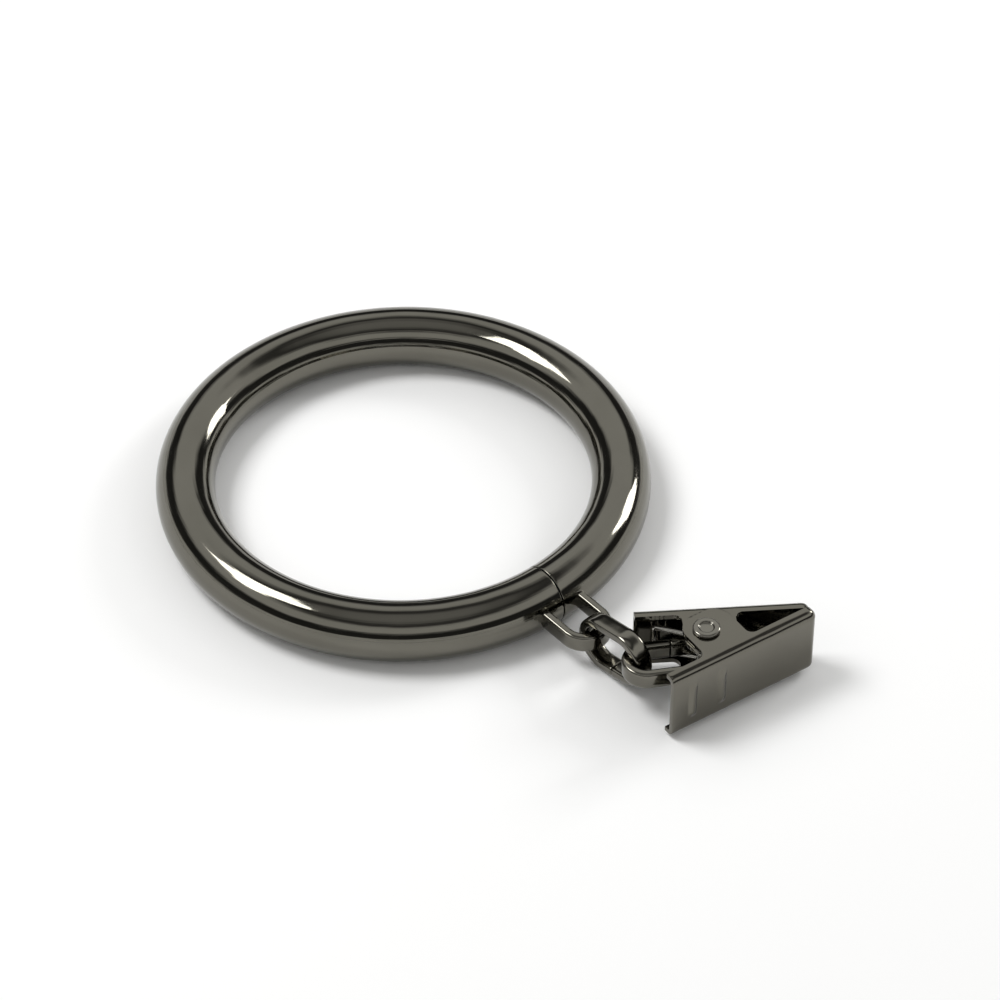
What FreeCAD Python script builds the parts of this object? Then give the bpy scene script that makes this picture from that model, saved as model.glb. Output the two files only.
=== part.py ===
import FreeCAD, Part
import Sketcher
import os
from math import acos, atan2, cos, degrees, pi, radians, sin

Vector = FreeCAD.Vector
Rotation = FreeCAD.Rotation

# Curtain ring with clip, lying as it comes to rest: the ring flat, the chain
# and the clip beside it. The origin is the centre of the ring's hole and +Z
# runs along the rod. All sizes are in millimetres and degrees.

SIZES = {
    # Ring of bent steel tube, closed by a butt seam
    "ring_inner_dia": 38.0,
    "tube_dia": 6.0,
    "tube_wall": 0.6,
    "seam_gap": 0.12,
    "seam_edge": 0.1,
    # Flattened wire of the eyelet and the two links
    "wire_thick": 1.0,
    "wire_width": 1.9,
    "wire_round": 0.4,
    # Eyelet, a staple whose feet lie inside the tube
    "eyelet_inner_dia": 3.4,
    "eyelet_reach": 5.6,
    "foot_length": 1.2,
    "foot_depth": 1.3,
    "slot_play": 0.05,
    # Links of the chain
    "upper_link_inner_width": 3.8,
    "upper_link_inner_length": 7.0,
    "lower_link_inner_width": 2.8,
    "lower_link_inner_length": 8.2,
    "link_play": 0.15,
    "pin_link_play": 0.15,
    # Folded sheet of the two jaws
    "sheet_thick": 0.5,
    "bend_round": 0.8,
    "lip_depth": 1.2,
    "nose_length": 10.4,
    "tail_length": 6.6,
    "jaw_half_angle": 14.5,
    "jaw_gap": 0.2,
    "jaw_side_play": 0.1,
    # Ears that carry the pin
    "ear_front": 3.1,
    "ear_rear": 2.1,
    "ear_reach": 2.3,
    "ear_round": 1.9,
    "neck_round": 0.8,
    # Teeth along the nose and pressed ribs near the tail
    "tooth_spacing": 1.1,
    "tooth_depth": 0.4,
    "rib_first": 2.3,
    "rib_spacing": 3.4,
    "rib_count": 2.0,
    "rib_width": 0.9,
    "rib_height": 0.25,
    "rib_length": 4.8,
    # Pivot pin, a tubular rivet
    "pin_dia": 1.7,
    "pin_play": 0.04,
    "pin_end_play": 0.05,
    "pin_head_dia": 2.7,
    "pin_head_thick": 0.35,
    "pin_dimple_dia": 1.5,
    "pin_dimple_depth": 0.2,
    # Torsion spring with a coil each side of the link
    "spring_wire": 0.6,
    "spring_leg_wire": 0.588,
    "spring_root": 0.05,
    "coil_spacing": 0.62,
    "spring_bend": 0.6,
    "coil_side_play": 0.19,
    "spring_pin_play": 0.1,
    "spring_link_play": 0.15,
    "spring_arm_place": 4.6,
    "spring_arm_play": 0.08,
    # How the chain and the clip lie at rest
    "lower_link_angle": 60.0,
    "clip_lean_angle": -9.0,
}

# Sizes that follow from the driving ones
TUBE_RADIUS = "(Sizes.tube_dia / 2)"
TUBE_BORE_RADIUS = "(Sizes.tube_dia / 2 - Sizes.tube_wall)"
RING_RADIUS = "((Sizes.ring_inner_dia + Sizes.tube_dia) / 2)"
RING_OUTER = "(Sizes.ring_inner_dia / 2 + Sizes.tube_dia)"
HALF_WIRE_WIDTH = "(Sizes.wire_width / 2)"
WIRE_CORNER = "(sqrt(Sizes.wire_thick ^ 2 + Sizes.wire_width ^ 2) / 2 - (sqrt(2) - 1) * Sizes.wire_round)"
SWING_ROOM = "(" + WIRE_CORNER + " + Sizes.link_play)"
EYELET_IN = "(Sizes.eyelet_inner_dia / 2)"
EYELET_OUT = "(Sizes.eyelet_inner_dia / 2 + Sizes.wire_thick)"
EYELET_CENTRE = "(-" + RING_OUTER + " - Sizes.eyelet_reach + " + EYELET_OUT + ")"
EYELET_HINGE = "(-" + RING_OUTER + " - Sizes.eyelet_reach + Sizes.wire_thick / 2)"
FOOT_LOW = "(-" + RING_OUTER + " + Sizes.foot_depth)"
FOOT_HIGH = "(" + FOOT_LOW + " + Sizes.wire_thick)"
PIN_RADIUS = "(Sizes.pin_dia / 2)"
LIP_END = (
    "(Sizes.nose_length * tan(Sizes.jaw_half_angle * 1deg)"
    " + Sizes.jaw_gap / 2 / cos(Sizes.jaw_half_angle * 1deg))"
)
PLATE_OUTSIDE = "(" + LIP_END + " + Sizes.lip_depth)"
PLATE_INSIDE = "(" + PLATE_OUTSIDE + " - Sizes.sheet_thick)"
COIL_RADIUS = "(" + PIN_RADIUS + " + Sizes.spring_pin_play + Sizes.spring_wire / 2)"
ARM_LIFT = "(" + PLATE_INSIDE + " - Sizes.spring_wire / 2 - Sizes.spring_arm_play)"
ARM_REACH = "sqrt(Sizes.spring_arm_place ^ 2 + " + ARM_LIFT + " ^ 2)"
LEAVE_ANGLE = (
    "(180deg - Sizes.jaw_half_angle * 1deg - atan(" + ARM_LIFT + " / Sizes.spring_arm_place)"
    " - acos(" + COIL_RADIUS + " / " + ARM_REACH + "))"
)
COIL_TURN = "(360deg + 2 * " + LEAVE_ANGLE + ")"
COIL_LOW = "(" + HALF_WIRE_WIDTH + " + Sizes.spring_link_play + Sizes.spring_wire / 2)"
COIL_HIGH = "(" + COIL_LOW + " + Sizes.coil_spacing * " + COIL_TURN + " / 360deg)"
INNER_JAW_WIDTH = (
    "(2 * (" + COIL_HIGH + " + Sizes.spring_wire / 2 + Sizes.coil_side_play + Sizes.sheet_thick))"
)
OUTER_JAW_WIDTH = "(" + INNER_JAW_WIDTH + " + 2 * Sizes.jaw_side_play + 2 * Sizes.sheet_thick)"
PIN_LENGTH = "(" + OUTER_JAW_WIDTH + " + 2 * Sizes.pin_head_thick + 2 * Sizes.pin_end_play)"

document = FreeCAD.newDocument("curtain_ring_with_clip")
sheet = document.addObject("Spreadsheet::Sheet", "Sizes")
for row, (alias, size) in enumerate(SIZES.items(), start=1):
    sheet.set("A%d" % row, alias)
    sheet.set("B%d" % row, str(size))
    sheet.setAlias("B%d" % row, alias)
document.recompute()

reckoner = document.addObject("App::FeaturePython", "Reckoner")
reckoner.addProperty("App::PropertyFloat", "Result")


def number(formula):
    """Value of a formula in the sheet's names, angles in degrees."""
    reckoner.setExpression("Result", formula)
    reckoner.recompute()
    return reckoner.Result


# Helpers for sketches and features

def new_body(label):
    body = document.addObject("PartDesign::Body", label)
    body.Label = label
    return body


def origin_feature(body, role):
    return next(feature for feature in body.Origin.OriginFeatures if feature.Role == role)


def new_sketch(body, name, role, height="0"):
    """Sketch on one of the body's own planes, lifted along the plane's normal."""
    sketch = body.newObject("Sketcher::SketchObject", body.Label + "_" + name)
    sketch.AttachmentSupport = [(origin_feature(body, role), "")]
    sketch.MapMode = "FlatFace"
    sketch.setExpression(".AttachmentOffset.Base.z", height)
    return sketch


def bind(sketch, kind, *place, to):
    """Dimension in a sketch, bound to a formula."""
    index = sketch.addConstraint(Sketcher.Constraint(kind, *place, number(to)))
    sketch.setExpression("Constraints[%d]" % index, to)


def add_outline(sketch, corners, arcs=()):
    """Closed outline through corners given as formulas, with some of its edges as arcs.

    Each entry of arcs is the edge's index, its centre as two formulas, and True
    where the arc runs anticlockwise. The arc's centre height is bound.
    """
    spots = [Vector(number(x), number(y), 0) for x, y in corners]
    bends = {index: (centre, forward) for index, centre, forward in arcs}
    count = len(spots)
    ends = []
    for index, start in enumerate(spots):
        end = spots[(index + 1) % count]
        if index not in bends:
            edge = sketch.addGeometry(Part.LineSegment(start, end), False)
            ends.append((edge, 1, 2))
            continue
        (centre_x, centre_y), forward = bends[index]
        centre = Vector(number(centre_x), number(centre_y), 0)
        circle = Part.Circle(centre, Vector(0, 0, 1), centre.distanceToPoint(start))
        low, high = (start, end) if forward else (end, start)
        turn = [atan2(spot.y - centre.y, spot.x - centre.x) for spot in (low, high)]
        edge = sketch.addGeometry(Part.ArcOfCircle(circle, *turn), False)
        bind(sketch, "DistanceY", edge, 3, to=centre_y)
        ends.append((edge, 1, 2) if forward else (edge, 2, 1))
    for index, (edge, start, end) in enumerate(ends):
        following, following_start, _ = ends[(index + 1) % count]
        sketch.addConstraint(Sketcher.Constraint("Coincident", edge, end, following, following_start))
    for (edge, start, _), (x, y) in zip(ends, corners):
        bind(sketch, "DistanceX", edge, start, to=x)
        bind(sketch, "DistanceY", edge, start, to=y)


def add_circle(sketch, x, y, radius):
    spot = Vector(number(x), number(y), 0)
    edge = sketch.addGeometry(Part.Circle(spot, Vector(0, 0, 1), number(radius)), False)
    bind(sketch, "DistanceX", edge, 3, to=x)
    bind(sketch, "DistanceY", edge, 3, to=y)
    bind(sketch, "Radius", edge, to=radius)


def add_slot(sketch, radius, top, bottom):
    """Upright racetrack: two half circles about (0, top) and (0, bottom), joined by straights."""
    reach = number(radius)
    high = number(top)
    low = number(bottom)
    corners = [(reach, high), (-reach, high), (-reach, low), (reach, low)]
    spots = [Vector(x, y, 0) for x, y in corners]
    axis = Vector(0, 0, 1)
    upper = sketch.addGeometry(Part.ArcOfCircle(Part.Circle(Vector(0, high, 0), axis, reach), 0, pi), False)
    left = sketch.addGeometry(Part.LineSegment(spots[1], spots[2]), False)
    lower = sketch.addGeometry(Part.ArcOfCircle(Part.Circle(Vector(0, low, 0), axis, reach), pi, 2 * pi), False)
    right = sketch.addGeometry(Part.LineSegment(spots[3], spots[0]), False)
    for first, second in ((upper, left), (left, lower), (lower, right), (right, upper)):
        sketch.addConstraint(Sketcher.Constraint("Tangent", first, 2, second, 1))
    for arc, height in ((upper, top), (lower, bottom)):
        bind(sketch, "DistanceX", arc, 3, to="0")
        bind(sketch, "DistanceY", arc, 3, to=height)
    sketch.addConstraint(Sketcher.Constraint("Equal", upper, lower))
    bind(sketch, "Radius", upper, to=radius)


def new_pad(body, sketch, length):
    """Pad to both sides of the sketch."""
    pad = body.newObject("PartDesign::Pad", sketch.Label + "_pad")
    pad.Profile = sketch
    pad.SideType = "Symmetric"
    pad.setExpression("Length", length)
    document.recompute()
    return pad


def new_pocket(body, sketch, length, symmetric=False, backwards=False):
    """Pocket that must take material away."""
    before = body.Shape.Volume
    pocket = body.newObject("PartDesign::Pocket", sketch.Label + "_pocket")
    pocket.Profile = sketch
    pocket.SideType = "Symmetric" if symmetric else "One side"
    pocket.Reversed = backwards
    pocket.setExpression("Length", length)
    document.recompute()
    if body.Shape.Volume >= before:
        raise ValueError(sketch.Label + " cuts nothing")
    return pocket


def new_revolution(body, sketch, angle, midplane=False):
    revolution = body.newObject("PartDesign::Revolution", sketch.Label + "_revolution")
    revolution.Profile = sketch
    revolution.ReferenceAxis = (origin_feature(body, "Z_Axis"), [""])
    revolution.Midplane = midplane
    revolution.setExpression("Angle", angle)
    document.recompute()
    return revolution


def new_fillet(body, name, radius, test):
    """Fillet on the edges of the body's last feature that pass a test."""
    base = body.Tip
    names = ["Edge%d" % index for index, edge in enumerate(base.Shape.Edges, start=1) if test(edge)]
    if not names:
        raise ValueError(body.Label + " has no edges for " + name)
    fillet = body.newObject("PartDesign::Fillet", body.Label + "_" + name)
    fillet.Base = (base, names)
    fillet.setExpression("Radius", radius)
    document.recompute()
    return fillet


def new_row(body, feature, axis_role, count, length):
    """Copies of a feature in a row along one of the body's axes."""
    pattern = body.newObject("PartDesign::LinearPattern", feature.Label + "_row")
    pattern.Originals = [feature]
    pattern.Direction = (origin_feature(body, axis_role), [""])
    pattern.Occurrences = count
    pattern.setExpression("Length", length)
    body.Tip = pattern
    document.recompute()
    return pattern


def same(first, second, tolerance=1e-4):
    return abs(first - second) < tolerance


def edge_points(edge):
    """Both ends and the middle of an edge."""
    span = edge.ParameterRange
    return [edge.valueAt(span[0]), edge.valueAt((span[0] + span[1]) / 2), edge.valueAt(span[1])]


def lies_on(edge, **levels):
    """True where all of an edge lies at the given x, y or z, both signs of z counting."""
    for point in edge_points(edge):
        for axis, level in levels.items():
            place = abs(point.z) if axis == "z" else getattr(point, axis)
            if not same(place, level):
                return False
    return True


# Ring

def build_ring_tube():
    """Tube bent to a circle, with a butt seam towards -Y and two slots for the eyelet's legs.

    In the body's own frame the seam lies towards -X.
    """
    body = new_body("ring_tube")
    section = new_sketch(body, "section", "XZ_Plane")
    add_circle(section, RING_RADIUS, "0", TUBE_RADIUS)
    add_circle(section, RING_RADIUS, "0", TUBE_BORE_RADIUS)
    new_revolution(body, section, "360 - Sizes.seam_gap / " + RING_RADIUS + " * 180 / pi", midplane=True)

    seam = new_sketch(body, "seam", "XY_Plane")
    seam.setExpression(".AttachmentOffset.Base.x", "-" + RING_RADIUS)
    mouth = "(-" + TUBE_RADIUS + " - Sizes.seam_edge)"
    spread = "(Sizes.seam_gap / 2 + 2 * Sizes.seam_edge)"
    add_outline(seam, [
        ("-" + TUBE_RADIUS + " + Sizes.seam_edge", "0"),
        (mouth, spread),
        (mouth, "-" + spread),
    ])
    groove = body.newObject("PartDesign::Groove", "seam_groove")
    groove.Profile = seam
    groove.ReferenceAxis = (seam, ["V_Axis"])
    groove.Angle = 360
    document.recompute()

    slots = new_sketch(body, "slots", "YZ_Plane", "-" + RING_RADIUS)
    near = EYELET_IN + " - Sizes.slot_play"
    far = EYELET_OUT + " + Sizes.slot_play"
    half_height = HALF_WIRE_WIDTH + " + Sizes.slot_play"
    for side in ("", "-"):
        across = [side + "(" + place + ")" for place in (near, far, far, near)]
        along = ["-(" + half_height + ")"] * 2 + [half_height] * 2
        add_outline(slots, list(zip(across, along)))
    new_pocket(body, slots, "Sizes.tube_dia")
    body.Placement = FreeCAD.Placement(Vector(), Rotation(Vector(0, 0, 1), 90))
    return body


# Eyelet

def build_eyelet():
    """Loop of flattened wire whose two legs pass the tube's wall and turn outwards inside it."""
    body = new_body("eyelet")
    loop = new_sketch(body, "loop", "XY_Plane")
    toe = "(" + EYELET_OUT + " + Sizes.foot_length)"
    corners = [
        ("-" + EYELET_OUT, EYELET_CENTRE),
        (EYELET_OUT, EYELET_CENTRE),
        (EYELET_OUT, FOOT_LOW),
        (toe, FOOT_LOW),
        (toe, FOOT_HIGH),
        (EYELET_IN, FOOT_HIGH),
        (EYELET_IN, EYELET_CENTRE),
        ("-" + EYELET_IN, EYELET_CENTRE),
        ("-" + EYELET_IN, FOOT_HIGH),
        ("-" + toe, FOOT_HIGH),
        ("-" + toe, FOOT_LOW),
        ("-" + EYELET_OUT, FOOT_LOW),
    ]
    centre = ("0", EYELET_CENTRE)
    add_outline(loop, corners, arcs=[(0, centre, True), (6, centre, False)])
    new_pad(body, loop, "Sizes.wire_width")
    face_height = number(HALF_WIRE_WIDTH)
    new_fillet(body, "wire_edges", "Sizes.wire_round", lambda edge: lies_on(edge, z=face_height))
    return body


# Links

def build_link(label, inner_width, inner_length):
    """Long link of flattened wire in the body's XY plane.

    The origin is the middle of the wire that the near end hangs on, and the
    link runs towards -Y.
    """
    body = new_body(label)
    radius = "(" + inner_width + " / 2)"
    top = "(" + SWING_ROOM + " - " + radius + ")"
    bottom = "(" + SWING_ROOM + " - " + inner_length + " + " + radius + ")"
    outline = new_sketch(body, "outline", "XY_Plane")
    add_slot(outline, "(" + radius + " + Sizes.wire_thick)", top, bottom)
    add_slot(outline, radius, top, bottom)
    new_pad(body, outline, "Sizes.wire_width")
    face_height = number(HALF_WIRE_WIDTH)
    new_fillet(body, "wire_edges", "Sizes.wire_round", lambda edge: lies_on(edge, z=face_height))
    return body


# Jaws

def jaw_corners():
    """Side outline of a jaw, clockwise from the tooth end of its nose."""
    return [
        ("Sizes.nose_length", LIP_END),
        ("Sizes.nose_length", PLATE_OUTSIDE),
        ("-Sizes.tail_length", PLATE_OUTSIDE),
        ("-Sizes.tail_length", LIP_END),
        ("-Sizes.ear_rear", LIP_END),
        ("-Sizes.ear_rear", "-Sizes.ear_reach"),
        ("Sizes.ear_front", "-Sizes.ear_reach"),
        ("Sizes.ear_front", LIP_END),
    ]


def add_rib_section(sketch, low, high):
    """Section of the first pressed rib: upright sides from low to high, and an arch above."""
    middle = "(-Sizes.tail_length + Sizes.rib_first)"
    rear = middle + " - Sizes.rib_width / 2"
    front = middle + " + Sizes.rib_width / 2"
    drop = "((Sizes.rib_width ^ 2 / 4 - Sizes.rib_height ^ 2) / 2 / Sizes.rib_height)"
    corners = [(rear, low), (front, low), (front, high), (rear, high)]
    add_outline(sketch, corners, arcs=[(2, (middle, high + " - " + drop), True)])


def build_jaw(label, width):
    """Jaw folded from sheet: plate, two side flanges with ears, and a toothed nose.

    In the body's own frame the pin runs along Z through the origin, the nose
    points along +X and the plate lies towards +Y.
    """
    body = new_body(label)
    side = new_sketch(body, "side", "XY_Plane")
    add_outline(side, jaw_corners())
    new_pad(body, side, width)

    ear_bottom = -number("Sizes.ear_reach")
    new_fillet(body, "ear_corners", "Sizes.ear_round", lambda edge: same(edge.BoundBox.XLength, 0)
               and same(edge.BoundBox.YLength, 0) and same(edge.CenterOfMass.y, ear_bottom))
    lip = number(LIP_END)
    neck = (number("Sizes.ear_front"), -number("Sizes.ear_rear"))
    new_fillet(body, "neck_corners", "Sizes.neck_round", lambda edge: same(edge.CenterOfMass.y, lip)
               and same(edge.BoundBox.XLength, 0) and any(same(edge.CenterOfMass.x, x) for x in neck))

    half_width = number(width) / 2
    plate = number(PLATE_OUTSIDE)
    nose = number("Sizes.nose_length")
    new_fillet(
        body,
        "bends",
        "Sizes.bend_round",
        lambda edge: lies_on(edge, y=plate, z=half_width) or lies_on(edge, x=nose, y=plate)
        or lies_on(edge, x=nose, z=half_width),
    )

    # The sheet's hollow side, open below and behind
    hollow = new_sketch(body, "hollow", "XZ_Plane", "-" + PLATE_INSIDE)
    inner_half = "(" + width + " / 2 - Sizes.sheet_thick)"
    back = "(-Sizes.tail_length - Sizes.sheet_thick)"
    front = "(Sizes.nose_length - Sizes.sheet_thick)"
    add_outline(hollow, [(back, "-" + inner_half), (front, "-" + inner_half),
                         (front, inner_half), (back, inner_half)])
    new_pocket(body, hollow, PLATE_OUTSIDE + " + Sizes.ear_reach + Sizes.sheet_thick", backwards=True)

    inside = number(PLATE_INSIDE)
    wall = number(inner_half)
    nose_inside = number(front)
    new_fillet(
        body,
        "inside_bends",
        "(Sizes.bend_round - Sizes.sheet_thick)",
        lambda edge: lies_on(edge, y=inside, z=wall) or lies_on(edge, x=nose_inside, y=inside)
        or lies_on(edge, x=nose_inside, z=wall),
    )

    bore = new_sketch(body, "bore", "XY_Plane")
    add_circle(bore, "0", "0", "(" + PIN_RADIUS + " + Sizes.pin_play)")
    new_pocket(body, bore, width + " + 1", symmetric=True)

    add_teeth(body, width)
    add_ribs(body)
    return body


def add_teeth(body, width):
    """Row of V notches across the nose's lip."""
    pitch = number("Sizes.tooth_spacing")
    count = int((number(width) - 2 * number("Sizes.bend_round")) / pitch) + 1
    start = "(-%d * Sizes.tooth_spacing)" % (count - 1) + " / 2"
    notch = new_sketch(body, "notch", "YZ_Plane", "(Sizes.nose_length + Sizes.sheet_thick)")
    mouth = "(" + LIP_END + " - Sizes.tooth_depth)"
    spread = "(0.9 * Sizes.tooth_spacing)"
    add_outline(notch, [
        (LIP_END + " + Sizes.tooth_depth", start),
        (mouth, start + " + " + spread),
        (mouth, start + " - " + spread),
    ])
    cut = new_pocket(body, notch, "2.4 * Sizes.sheet_thick")
    new_row(body, cut, "Z_Axis", count, "%d * Sizes.tooth_spacing" % (count - 1))


def add_ribs(body):
    """Ribs pressed out of the plate near its tail, with the groove behind each."""
    outside = new_sketch(body, "rib", "XY_Plane")
    add_rib_section(outside, PLATE_OUTSIDE + " - Sizes.sheet_thick / 2", PLATE_OUTSIDE)
    rib = new_pad(body, outside, "Sizes.rib_length")
    count = int(number("Sizes.rib_count"))
    spread = "%d * Sizes.rib_spacing" % (count - 1)
    new_row(body, rib, "X_Axis", count, spread)

    inside = new_sketch(body, "groove", "XY_Plane")
    add_rib_section(inside, PLATE_INSIDE + " - Sizes.sheet_thick", PLATE_INSIDE)
    groove = new_pocket(body, inside, "Sizes.rib_length", symmetric=True)
    new_row(body, groove, "X_Axis", count, spread)


# Pivot pin

def build_pivot_pin():
    """Tubular rivet along Z with a flared head and a dimple at each end."""
    body = new_body("pivot_pin")
    half_profile = new_sketch(body, "profile", "XZ_Plane")
    top = "(" + PIN_LENGTH + " / 2)"
    neck = "(" + PIN_LENGTH + " / 2 - Sizes.pin_head_thick)"
    floor = "(" + PIN_LENGTH + " / 2 - Sizes.pin_dimple_depth)"
    upper = [
        ("Sizes.pin_dimple_dia / 2", floor),
        ("Sizes.pin_dimple_dia / 2", top),
        ("Sizes.pin_head_dia / 2", top),
        ("Sizes.pin_head_dia / 2", neck),
        (PIN_RADIUS, neck),
    ]
    lower = [(x, "-" + z) for x, z in reversed(upper)]
    add_outline(half_profile, [("0", floor)] + upper + lower + [("0", "-" + floor)])
    new_revolution(body, half_profile, "360")
    head_radius = number("Sizes.pin_head_dia / 2")
    top_height = number(top)
    new_fillet(body, "head_edges", "0.6 * Sizes.pin_head_thick",
               lambda edge: hasattr(edge.Curve, "Radius") and same(edge.Curve.Radius, head_radius)
               and lies_on(edge, z=top_height))
    return body


# Torsion spring

def wire_run(start, end, radius):
    """Straight run of round wire between two points."""
    along = end - start
    return Part.makeCylinder(radius, along.Length, start, along)


def wire_coil(start_angle, turn, start_height, pitch, coil_radius, radius):
    """Left-hand coil about Z from a start angle, through the given turn in degrees."""
    height = pitch * turn / 360
    path = Part.makeHelix(pitch, height, coil_radius, 0, True)
    disc = Part.Wire(Part.makeCircle(radius, Vector(coil_radius, 0, 0), Vector(0, 1, 0)))
    coil = Part.Wire(path.Edges).makePipeShell([disc], True, True)
    coil.rotate(Vector(), Vector(0, 0, 1), start_angle)
    coil.translate(Vector(0, 0, start_height))
    return coil


def wire_hairpin(start, corner, bend, radius):
    """Two legs joined by a bridge: from start to corner, round a bend, and mirrored below."""
    leg = (corner - start).normalize()
    down = Vector(0, 0, -1)
    leg_end = corner - leg * bend
    bridge_start = corner + down * bend
    centre = leg_end + down * bend
    middle = centre + (leg - down).normalize() * bend
    upper = [start, leg_end, middle, bridge_start]
    lower = [Vector(spot.x, spot.y, -spot.z) for spot in upper]
    path = Part.Wire([
        Part.LineSegment(upper[0], upper[1]).toShape(),
        Part.Arc(upper[1], upper[2], upper[3]).toShape(),
        Part.LineSegment(upper[3], lower[3]).toShape(),
        Part.Arc(lower[3], lower[2], lower[1]).toShape(),
        Part.LineSegment(lower[1], lower[0]).toShape(),
    ])
    disc = Part.Wire(Part.makeCircle(radius, start, leg))
    return path.makePipeShell([disc], True, True)


def build_torsion_spring():
    """Double torsion spring: a bridge on the inner jaw's tail, a coil each side, two free arms.

    In its own frame the pin runs along Z and the clip's nose points along +X.
    """
    radius = number("Sizes.spring_wire / 2")
    coil_radius = number(COIL_RADIUS)
    half_angle = radians(number("Sizes.jaw_half_angle"))
    back = -number("Sizes.spring_arm_place")
    lift = number(ARM_LIFT)
    end_x = back * cos(half_angle) + lift * sin(half_angle)
    end_y = -back * sin(half_angle) + lift * cos(half_angle)
    leave_angle = radians(number(LEAVE_ANGLE))
    turn = number(COIL_TURN)
    inner_height = number(COIL_LOW)
    outer_height = number(COIL_HIGH)
    pitch = number("Sizes.coil_spacing")

    leave_x = coil_radius * cos(leave_angle)
    leave_y = coil_radius * sin(leave_angle)
    bridge_end = Vector(end_x, end_y, inner_height)
    leg_start = Vector(leave_x, leave_y, inner_height)
    arm_start = Vector(leave_x, -leave_y, outer_height)
    arm_end = Vector(end_x, -end_y, outer_height)

    coil = wire_coil(degrees(leave_angle), turn, inner_height, pitch, coil_radius, radius)
    leg_radius = number("Sizes.spring_leg_wire / 2")
    root = number("Sizes.spring_root")
    leg_root = leg_start + (leg_start - bridge_end).normalize() * root
    arm_root = arm_start + (arm_start - arm_end).normalize() * root
    arm = wire_run(arm_root, arm_end, leg_radius)
    tip = [edge for edge in arm.Edges if edge.CenterOfMass.distanceToPoint(arm_end) < root]
    arm = arm.makeFillet(0.9 * leg_radius, tip)
    upper = coil.fuse(arm)
    lower = upper.mirror(Vector(), Vector(0, 0, 1))
    hairpin = wire_hairpin(leg_root, bridge_end, number("Sizes.spring_bend"), leg_radius)
    spring = document.addObject("Part::Feature", "torsion_spring")
    spring.Shape = upper.fuse(hairpin).fuse(lower)
    spring.Label = "torsion_spring"
    return spring


# Places of the pieces at rest

def along_heading(angle, length):
    """Step in the ring's plane, with the angle counted from +X."""
    return Vector(cos(radians(angle)) * length, sin(radians(angle)) * length, 0)


def place_chain_and_clip(parts):
    """Lay the links and the clip down from the eyelet outwards."""
    z_axis = Vector(0, 0, 1)
    rise = number(PIN_LENGTH + " / 2 - " + TUBE_RADIUS)
    upper_reach = number("Sizes.upper_link_inner_length - " + SWING_ROOM + " + Sizes.wire_thick / 2")
    tilt = 90 - degrees(acos(rise / upper_reach))
    upper_hinge = Vector(0, number(EYELET_HINGE), 0)
    upper_turn = Rotation(Vector(1, 0, 0), -tilt) * Rotation(Vector(0, 1, 0), 90)
    parts["upper_link"].Placement = FreeCAD.Placement(upper_hinge, upper_turn)

    lower_hinge = upper_hinge + Vector(0, -upper_reach * cos(radians(tilt)), rise)
    turn = number("Sizes.lower_link_angle")
    parts["lower_link"].Placement = FreeCAD.Placement(lower_hinge, Rotation(z_axis, turn))

    lower_reach = number(
        "Sizes.lower_link_inner_length - " + SWING_ROOM + " - " + PIN_RADIUS + " - Sizes.pin_link_play"
    )
    pin_place = lower_hinge + along_heading(turn - 90, lower_reach)
    heading = Rotation(z_axis, turn - 90 - number("Sizes.clip_lean_angle"))
    half_angle = number("Sizes.jaw_half_angle")
    flip = Rotation(Vector(1, 0, 0), 180)
    turns = {
        "outer_jaw": heading * Rotation(z_axis, half_angle) * flip,
        "inner_jaw": heading * Rotation(z_axis, -half_angle),
        "pivot_pin": heading,
        "torsion_spring": heading,
    }
    for name, rotation in turns.items():
        parts[name].Placement = FreeCAD.Placement(pin_place, rotation)


def export(parts):
    """Check each piece and write its file."""
    document.recompute()
    for item in document.Objects:
        if "Invalid" in item.State or "Error" in item.State:
            raise ValueError(item.Label + " did not compute")
    os.makedirs("parts", exist_ok=True)
    for name, part in parts.items():
        if part.Shape.isNull() or not part.Shape.isValid():
            raise ValueError(name + " has no valid shape")
        part.Shape.exportStep("parts/" + name + ".step")
        box = part.Shape.BoundBox
        print(name, len(part.Shape.Solids), round(part.Shape.Volume, 3), box)


parts = {
    "ring_tube": build_ring_tube(),
    "eyelet": build_eyelet(),
    "upper_link": build_link("upper_link", "Sizes.upper_link_inner_width", "Sizes.upper_link_inner_length"),
    "lower_link": build_link("lower_link", "Sizes.lower_link_inner_width", "Sizes.lower_link_inner_length"),
    "outer_jaw": build_jaw("outer_jaw", OUTER_JAW_WIDTH),
    "inner_jaw": build_jaw("inner_jaw", INNER_JAW_WIDTH),
    "pivot_pin": build_pivot_pin(),
    "torsion_spring": build_torsion_spring(),
}
place_chain_and_clip(parts)
export(parts)
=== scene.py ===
"""Curtain ring with clip in dark polished nickel, dressed over its CAD frame."""
import logging
from dataclasses import dataclass, field
from enum import Enum

import bmesh
import bpy
import numpy as np
from mathutils import Matrix, Vector


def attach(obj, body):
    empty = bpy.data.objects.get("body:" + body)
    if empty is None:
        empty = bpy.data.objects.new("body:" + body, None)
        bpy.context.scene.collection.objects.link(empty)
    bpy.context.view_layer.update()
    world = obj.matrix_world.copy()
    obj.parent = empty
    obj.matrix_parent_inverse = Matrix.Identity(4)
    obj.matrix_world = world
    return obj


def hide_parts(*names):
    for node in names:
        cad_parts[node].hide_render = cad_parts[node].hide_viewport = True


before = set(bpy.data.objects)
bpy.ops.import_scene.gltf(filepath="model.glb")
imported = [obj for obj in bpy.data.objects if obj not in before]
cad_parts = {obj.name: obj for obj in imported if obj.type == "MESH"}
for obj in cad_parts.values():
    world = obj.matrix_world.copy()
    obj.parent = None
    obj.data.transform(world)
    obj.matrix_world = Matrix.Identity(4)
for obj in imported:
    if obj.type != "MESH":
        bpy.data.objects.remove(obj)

logging.basicConfig(level=logging.INFO, format="%(message)s")
LOG = logging.getLogger("curtain_ring")
MM = 0.001
Socket = bpy.types.NodeSocket


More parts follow.
